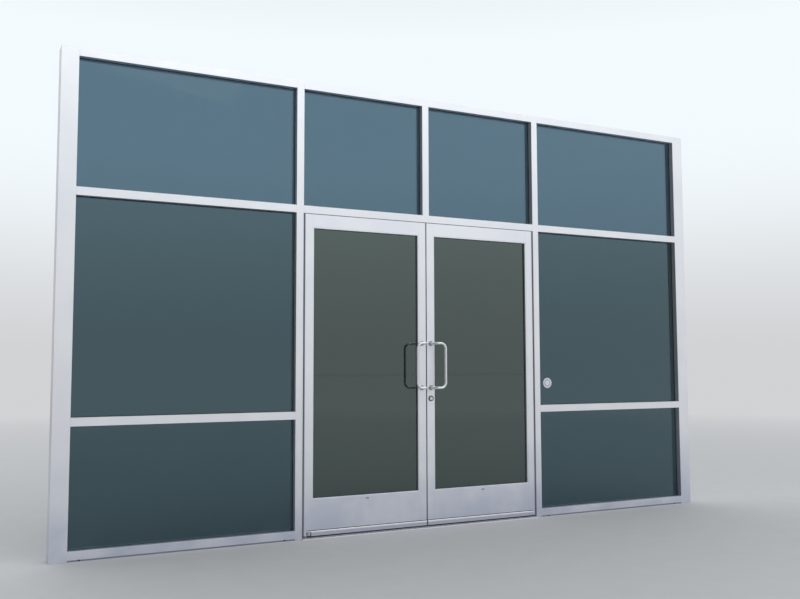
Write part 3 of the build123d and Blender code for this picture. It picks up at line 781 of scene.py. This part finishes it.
print("points of a screw head:", len(circle_shares) * screw_steps)

# %% [markdown]
# ## Where the screws go
# The threshold is held by two rows of screws and each sweep by one row along the painted highlight
# near its top. Each place could be typed in by hand, but a fitter drills at even steps between two
# end margins, and so does the loop. Each group rides on the body that it holds together, so it
# moves with the leaf.

# %% Screws of the threshold and the sweeps
threshold_low, threshold_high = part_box("threshold")
row_screws = 5
threshold_end, threshold_edge, threshold_proud = 0.08, 0.026, 0.0001
sweep_end, sweep_drop = 0.02, 0.011
screws = Heap()
row = np.linspace(threshold_low[0] + threshold_end, threshold_high[0] - threshold_end, row_screws)
for x in row:
    for y in (threshold_low[1] + threshold_edge, threshold_high[1] - threshold_edge):
        screw_place = (x, y, threshold_high[2] + threshold_proud)
        screw_head(screws, screw_place, (0, 0, 1), radius=0.0045, dome=0.08)
screws.piece("threshold_screws", "frame", handle_metal, "lock_steel")

for hand in ("left", "right"):
    low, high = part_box(f"{hand}_sweep")
    screws = Heap()
    for x in np.linspace(low[0] + sweep_end, high[0] - sweep_end, row_screws):
        screw_place = (x, low[1], high[2] - sweep_drop)
        screw_head(screws, screw_place, (0, -1, 0), radius=0.0034, dome=0.4)
    screws.piece(f"{hand}_sweep_screws", f"{hand}_leaf", handle_metal, "lock_steel")

# %% [markdown]
# ## Screws that only an open leaf shows
# Each hinge plate has a line of screws in the gap between leaf and frame, and two more hold the
# strike and the faceplate of the lock in the edges of the leaves. The jamb's screws ride on the
# frame and the others on a leaf. One loop places both lines of a hinge, because they stand at the
# same heights and only face opposite ways.

# %% Screws of the hinges and the lock plates
hinge_gap, hinge_plate = 0.0115, 0.0025
hinge_screws, hinge_end, hinge_setback = 12, 0.06, 0.031
for hand, side in (("left", -1), ("right", 1)):
    low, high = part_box(f"{hand}_hinge_door_plate")
    jamb_face = side * (abs(threshold_low[0]) - hinge_plate)
    door_face = side * (abs(threshold_low[0]) - hinge_gap + hinge_plate)
    plate_y = low[1] + hinge_setback
    jamb_screws, door_screws = Heap(), Heap()
    for z in np.linspace(low[2] + hinge_end, high[2] - hinge_end, hinge_screws):
        for heap, x, outward in ((jamb_screws, jamb_face, -side), (door_screws, door_face, side)):
            screw_head(heap, (x, plate_y, z), (outward, 0, 0), radius=0.0042, dome=0.1)
    jamb_screws.piece(f"{hand}_hinge_jamb_screws", "frame", handle_metal, "lock_steel")
    door_screws.piece(f"{hand}_hinge_door_screws", f"{hand}_leaf", handle_metal, "lock_steel")

for name, body, outward, margin in (
    ("strike", "left_leaf", 1, 0.006),
    ("lock_case", "right_leaf", -1, 0.0055),
):
    low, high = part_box(name)
    face = high[0] if outward > 0 else low[0]
    screws = Heap()
    for z in (low[2] + margin, high[2] - margin):
        screw_place = (face, (low[1] + high[1]) / 2, z)
        screw_head(screws, screw_place, (outward, 0, 0), radius=0.0036, dome=0.08)
    screws.piece(f"{name}_screws", body, handle_metal, "lock_steel")

# %% [markdown]
# ## Rounded plates
# A plate is a superellipse: its edge is the curve where the sum of |x/a| and |z/b|, each to the
# same power, is one. A power of 2 gives an ellipse and a high one a rectangle with soft corners.
# The same curve shrunk a little and moved forward gives the rounded front. A box with a bevel
# would do for the square ones, but one function makes both the small square cover at the end of
# the left sweep and the round holes that let water out of the glazing.

# %% A plate with a superellipse for its edge
rim_share = 0.6


def plate(heap, centre, half_width, half_height, back, front, power=8.0, steps=64):
    """A plate in the XZ plane with a rounded rim towards -Y. At the angle t its edge is at the
    half width times the cosine of t to the power 2/power, its sign kept, and the same in height
    with the sine."""
    t = np.linspace(0, 2 * math.pi, steps, endpoint=False)
    c, s = np.cos(t), np.sin(t)
    edge_x = np.sign(c) * np.abs(c) ** (2 / power)
    edge_z = np.sign(s) * np.abs(s) ** (2 / power)
    rim = (back - front) * rim_share
    turns = np.concatenate([[0], lip_turns])
    inset = (rim * (1 - np.cos(turns)))[:, None]
    depth = (front + rim * (1 - np.sin(turns)))[:, None]
    depth[0] = back
    x = centre[0] + edge_x * (half_width - inset)
    z = centre[1] + edge_z * (half_height - inset)
    count = len(turns)
    caps = [list(range(steps)), list(range((count - 1) * steps, count * steps))[::-1]]
    points = np.stack([x, np.broadcast_to(depth, x.shape), z], -1)
    heap.add(points, grid_faces(count, steps, close_columns=True) + caps)


print("turns in the rim of a plate:", len(lip_turns))

# %% [markdown]
# ## The cover of the left sweep
# A small square cover on a dark seat closes the left end of the left sweep, held by one screw.
# They could be solids of the CAD model, but they are trim of a few millimetres. Seat, cover and
# screw lie one on the other, and each starts at the front of the one behind it.

# %% The cover at the left sweep's end
cover_half, seat_margin = (0.0135, 0.0125), 0.0022
cover_end, cover_drop = 0.002, 0.004
seat_depth, cover_depth = 0.0006, 0.002
low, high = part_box("left_sweep")
cover_centre = (low[0] + cover_half[0] + cover_end, high[2] - cover_half[1] - cover_drop)
seat_front = low[1] - seat_depth
cover_front = seat_front - cover_depth
seat_half = [size + seat_margin for size in cover_half]
seats, covers, screws = Heap(), Heap(), Heap()
plate(seats, cover_centre, *seat_half, low[1], seat_front)
plate(covers, cover_centre, *cover_half, seat_front, cover_front)
cover_screw = (cover_centre[0], cover_front, cover_centre[1])
screw_head(screws, cover_screw, (0, -1, 0), radius=0.0042, dome=0.3)
seats.piece("left_sweep_end_seat", "left_leaf", black_rubber, "black_rubber")
covers.piece("left_sweep_end_cover", "left_leaf", sweep_metal, "satin_handle")
screws.piece("left_sweep_end_screw", "left_leaf", handle_metal, "lock_steel")

# %% [markdown]
# ## Water holes
# Rain that gets past a gasket leaves through a slot in each bottom rail and two holes in each
# sub-sill. They could be cut out of the metal, but a dark plate less than a millimetre proud of
# the face looks like a hole to anyone standing there, and the solids stay as they are. The dark of
# each plate is painted shade, standing in for the shadow inside the hole.

# %% Slots under the door glass and drain holes in the sills
# The slot and drain plates are dark as painted shade for the inside of a hole.
slot_half, slot_drop, slot_proud = (0.0125, 0.0035), 0.014, 0.0005
drain_half, drain_end = (0.007, 0.0042), 0.067
drain_lift, drain_proud = 0.0006, 0.0008
channel_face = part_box("sub_sill")[0][1]
drain_face = channel_face - drain_proud
for hand in ("left", "right"):
    low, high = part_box(f"{hand}_bottom_rail")
    slot_centre = ((low[0] + high[0]) / 2, high[2] - slot_drop)
    slots = Heap()
    plate(slots, slot_centre, *slot_half, low[1], low[1] - slot_proud, power=2.5)
    slots.piece(f"{hand}_leaf_drain_slot", f"{hand}_leaf", spacer_metal, "spacer_aluminium")

    low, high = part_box(f"sill_{hand}")
    drains = Heap()
    for x in (low[0] + drain_end, high[0] - drain_end):
        drain_centre = (x, drain_half[1] + drain_lift)
        plate(drains, drain_centre, *drain_half, channel_face, drain_face, power=2.0)
    drains.piece(f"{hand}_sill_drains", "frame", black_rubber, "black_rubber")

# %% [markdown]
# ## The foot of each leaf
# The sweep holds a vinyl blade whose lip ends just above the threshold, and a dark bead along its
# top stands for the shadow line at the joint, painted shade. Both keep one section over their whole
# length, so they are a list of (y, z) points copied to the two ends, which takes fewer faces than a
# swept curve.

# %% Wiper blades and dark shadow beads of the sweeps
end_margin = 0.0005
blade_front, blade_back, blade_lift = 0.0003, 0.00125, 0.0009
tip_height, tip_slant = 0.0016, 0.0004
bead_depth, bead_height = 0.0014, 0.0045
bead_turns = np.linspace(0, math.pi, 7)
threshold_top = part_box("threshold")[1][2]


def strip_along_x(heap, ends, section):
    """A closed bar between two values of x. The section runs anticlockwise seen from +X."""
    y, z = np.asarray(section, float).T
    count = len(section)
    points = np.stack([np.stack([np.full(count, x), y, z], -1) for x in ends])
    caps = [list(range(count)), list(range(count, 2 * count))[::-1]]
    heap.add(points, [face[::-1] for face in grid_faces(2, count, close_columns=True)] + caps)


for hand in ("left", "right"):
    body = f"{hand}_leaf"
    low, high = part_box(f"{hand}_sweep")
    leaf_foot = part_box(f"{hand}_bottom_rail")[0][2]
    ends = (low[0] + end_margin, high[0] - end_margin)
    front, back, foot = low[1] + blade_front, low[1] + blade_back, threshold_top + blade_lift
    tip = [(front, foot + tip_height), (front + tip_slant, foot), (back, foot)]
    blades = Heap()
    strip_along_x(blades, ends, [(back, leaf_foot), (front, leaf_foot)] + tip)
    blades.piece(f"{hand}_sweep_blade", body, black_rubber, "black_rubber", smooth=False)

    # The dark bead along the sweep's top is painted shade for the shadow line at the joint.
    bead_y = high[1] - bead_depth * np.sin(bead_turns)
    bead_z = high[2] + bead_height * (1 + np.cos(bead_turns)) / 2
    beads = Heap()
    strip_along_x(beads, ends, np.stack([bead_y, bead_z], -1))
    beads.piece(f"{hand}_sweep_painted_shadow_bead", body, black_rubber, "black_rubber", smooth=False)

# %% [markdown]
# ## The sticker
# A round sticker sits on the outer face of the right-hand middle pane. It is a thin flat disc with
# a plain ring printed on it. The ring could be drawn in the material, but as a second, thinner
# disc it keeps a crisp edge at any distance.

# %% A round sticker of film with a plain ring
sticker_centre = (1.079, 0.997)
sticker_radius, pinhole = 0.0385, 0.0004
film_thickness = 0.0004
ring_shares = (0.54, 0.74)


def disc(heap, radii, back, front, centre, segments=72):
    """A flat ring between two radii, closed, with its front towards -Y. At the angle t a point is
    at the centre plus the radius times the cosine of t along X and the sine of t along Z."""
    angles = np.linspace(0, 2 * math.pi, segments, endpoint=False)
    inner, outer = radii
    r, y = np.array([(inner, back), (outer, back), (outer, front), (inner, front)]).T
    x = centre[0] + np.outer(np.cos(angles), r)
    z = centre[1] + np.outer(np.sin(angles), r)
    points = np.stack([x, np.broadcast_to(y, x.shape), z], -1)
    heap.add(points, grid_faces(segments, 4, close_rows=True, close_columns=True))


glass_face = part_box("lite_mid_right")[0][1]
film_face = glass_face - film_thickness
film, printed = Heap(), Heap()
disc(film, (pinhole, sticker_radius), glass_face, film_face, sticker_centre)
film.piece("round_sticker", "frame", white_film, "satin_handle", smooth=False)
ring_radii = tuple(share * sticker_radius for share in ring_shares)
disc(printed, ring_radii, film_face, film_face - film_thickness / 2, sticker_centre)
printed.piece("sticker_ring", "frame", grey_ink, "black_rubber", smooth=False)

# %% [markdown]
# ## The world
# The world is a pale room, the same to the camera, to reflections and through the glass, so metal
# and panes mirror what stands behind them. It is brighter and bluer above eye level and plainer
# overhead. Its left end is darker in mirrors, which gives the sides turned that way their shade. An
# image of a real place would do this too, but would bring its own shapes into the glass.

# %% World: a pale backdrop, brighter and bluer higher up
low_colour, high_colour = (0.64, 0.645, 0.66), (0.9, 0.96, 1.0)
high_from = 0.25
left_colour = (0.25, 0.245, 0.24)
left_end = (-0.45, -0.2)
matt_light = 0.68
overhead_light, overhead_reach = 0.35, (0.35, 0.8)


def seen_by_mirror_and_camera(tree):
    """1 for camera, glossy and transmission rays, otherwise 0: the largest of the three."""
    light_path = tree.nodes.new("ShaderNodeLightPath")
    value = light_path.outputs["Is Camera Ray"]
    for kind in ("Is Glossy Ray", "Is Transmission Ray"):
        value = arithmetic(tree, "MAXIMUM", value, light_path.outputs[kind])
    return value


def darker_to_the_left(tree, x, room):
    """The room's colour, but for mirrors it turns to left_colour as x falls through left_end."""
    glossy = tree.nodes.new("ShaderNodeLightPath").outputs["Is Glossy Ray"]
    share = arithmetic(tree, "MULTIPLY", span(tree, x, 1, 0, *left_end), glossy)
    return two_colours(tree, share, room, left_colour)


world = bpy.data.worlds.new("soft_room")
world.use_nodes = True
bpy.context.scene.world = world
tree = world.node_tree
direction = tree.nodes.new("ShaderNodeTexCoord")
parts = tree.nodes.new("ShaderNodeSeparateXYZ")
tree.links.new(direction.outputs["Generated"], parts.inputs["Vector"])
height = span(tree, parts.outputs["Z"], 0, 1, 0, high_from)
height.node.interpolation_type = "SMOOTHSTEP"
room = two_colours(tree, height, low_colour, high_colour)
background = tree.nodes["Background"]
wall = darker_to_the_left(tree, parts.outputs["X"], room)
tree.links.new(wall, background.inputs["Color"])
strength = span(tree, seen_by_mirror_and_camera(tree), matt_light, 1, 0, 1)
overhead = span(tree, parts.outputs["Z"], 1, overhead_light, *overhead_reach)
tree.links.new(overhead, strength.node.inputs["To Max"])
tree.links.new(strength, background.inputs["Strength"])
print("world nodes:", len(tree.nodes))

# %% [markdown]
# ## The floor
# The floor is plain and pale, and takes the object's shadow near by. A backdrop behind it would
# need a curved corner, so instead the floor is wide, and further off it fades into the colour of
# the room, for the camera and in mirrors.

# %% Floor: plain and pale, fading into the room further off
floor_colours = ((0.545, 0.545, 0.552), (0.56, 0.56, 0.566))
fade_from, fade_to = 4.5, 16.0
floor_half = 60.0

floor_material, tree, shader = start_finish("pale_floor", Roughness=0.75)
colour_from(tree, shader, stretched_noise(tree, (2, 2, 2), size=3.0, detail=6.0), *floor_colours)
coordinates = tree.nodes.new("ShaderNodeTexCoord")
distance = tree.nodes.new("ShaderNodeVectorMath")
distance.operation = "LENGTH"
heading = tree.nodes.new("ShaderNodeVectorMath")
heading.operation = "NORMALIZE"
for node in (distance, heading):
    tree.links.new(coordinates.outputs["Object"], node.inputs[0])
parts = tree.nodes.new("ShaderNodeSeparateXYZ")
tree.links.new(heading.outputs["Vector"], parts.inputs["Vector"])
glow = tree.nodes.new("ShaderNodeEmission")
far_floor = darker_to_the_left(tree, parts.outputs["X"], low_colour)
tree.links.new(far_floor, glow.inputs["Color"])
far_off = span(tree, distance.outputs["Value"], 0, 1, fade_from, fade_to)
fade = arithmetic(tree, "MULTIPLY", far_off, seen_by_mirror_and_camera(tree))
blend = tree.nodes.new("ShaderNodeMixShader")
tree.links.new(fade, blend.inputs["Fac"])
tree.links.new(shader.outputs["BSDF"], blend.inputs[1])
tree.links.new(glow.outputs["Emission"], blend.inputs[2])
tree.links.new(blend.outputs["Shader"], tree.nodes["Material Output"].inputs["Surface"])

floor_mesh = bpy.data.meshes.new("floor")
corner_signs = ((-1, -1), (1, -1), (1, 1), (-1, 1))
floor_corners = [(x * floor_half, y * floor_half, 0) for x, y in corner_signs]
floor_mesh.from_pydata(floor_corners, [], [(0, 1, 2, 3)])
floor_mesh.materials.append(floor_material)
floor = bpy.data.objects.new("floor", floor_mesh)
bpy.context.scene.collection.objects.link(floor)
print("floor", 2 * floor_half, "m wide")

# %% [markdown]
# ## Lamps
# Two wide lamps light the object at a plain level: one hangs high in front, a little to the right,
# and one behind. Small lamps would show as hard spots in the metal and cast sharp shadows, and wide
# ones act like an overcast sky.

# %% Lamps


def area_lamp(name, place, target, size, power):
    """A rectangular lamp at place whose face looks at target."""
    lamp = bpy.data.lights.new(name, "AREA")
    lamp.shape = "RECTANGLE"
    lamp.size, lamp.size_y = size
    lamp.energy = power
    made = bpy.data.objects.new(name, lamp)
    bpy.context.scene.collection.objects.link(made)
    made.location = place
    made.rotation_euler = (Vector(target) - Vector(place)).to_track_quat("-Z", "Y").to_euler()
    print(name, "of", power, "W")


lamp_target = (0, 0, 1.2)
area_lamp("wide_front_lamp", (3.5, -7.5, 11.5), lamp_target, size=(16.0, 10.0), power=560)
area_lamp("wide_back_lamp", (-3.5, 7.5, 11.0), lamp_target, size=(18.0, 11.0), power=400)

# %% [markdown]
# ## The end
# The Standard view shows each colour as it is written.

# %% Plain colours on screen
bpy.context.scene.view_settings.view_transform = "Standard"
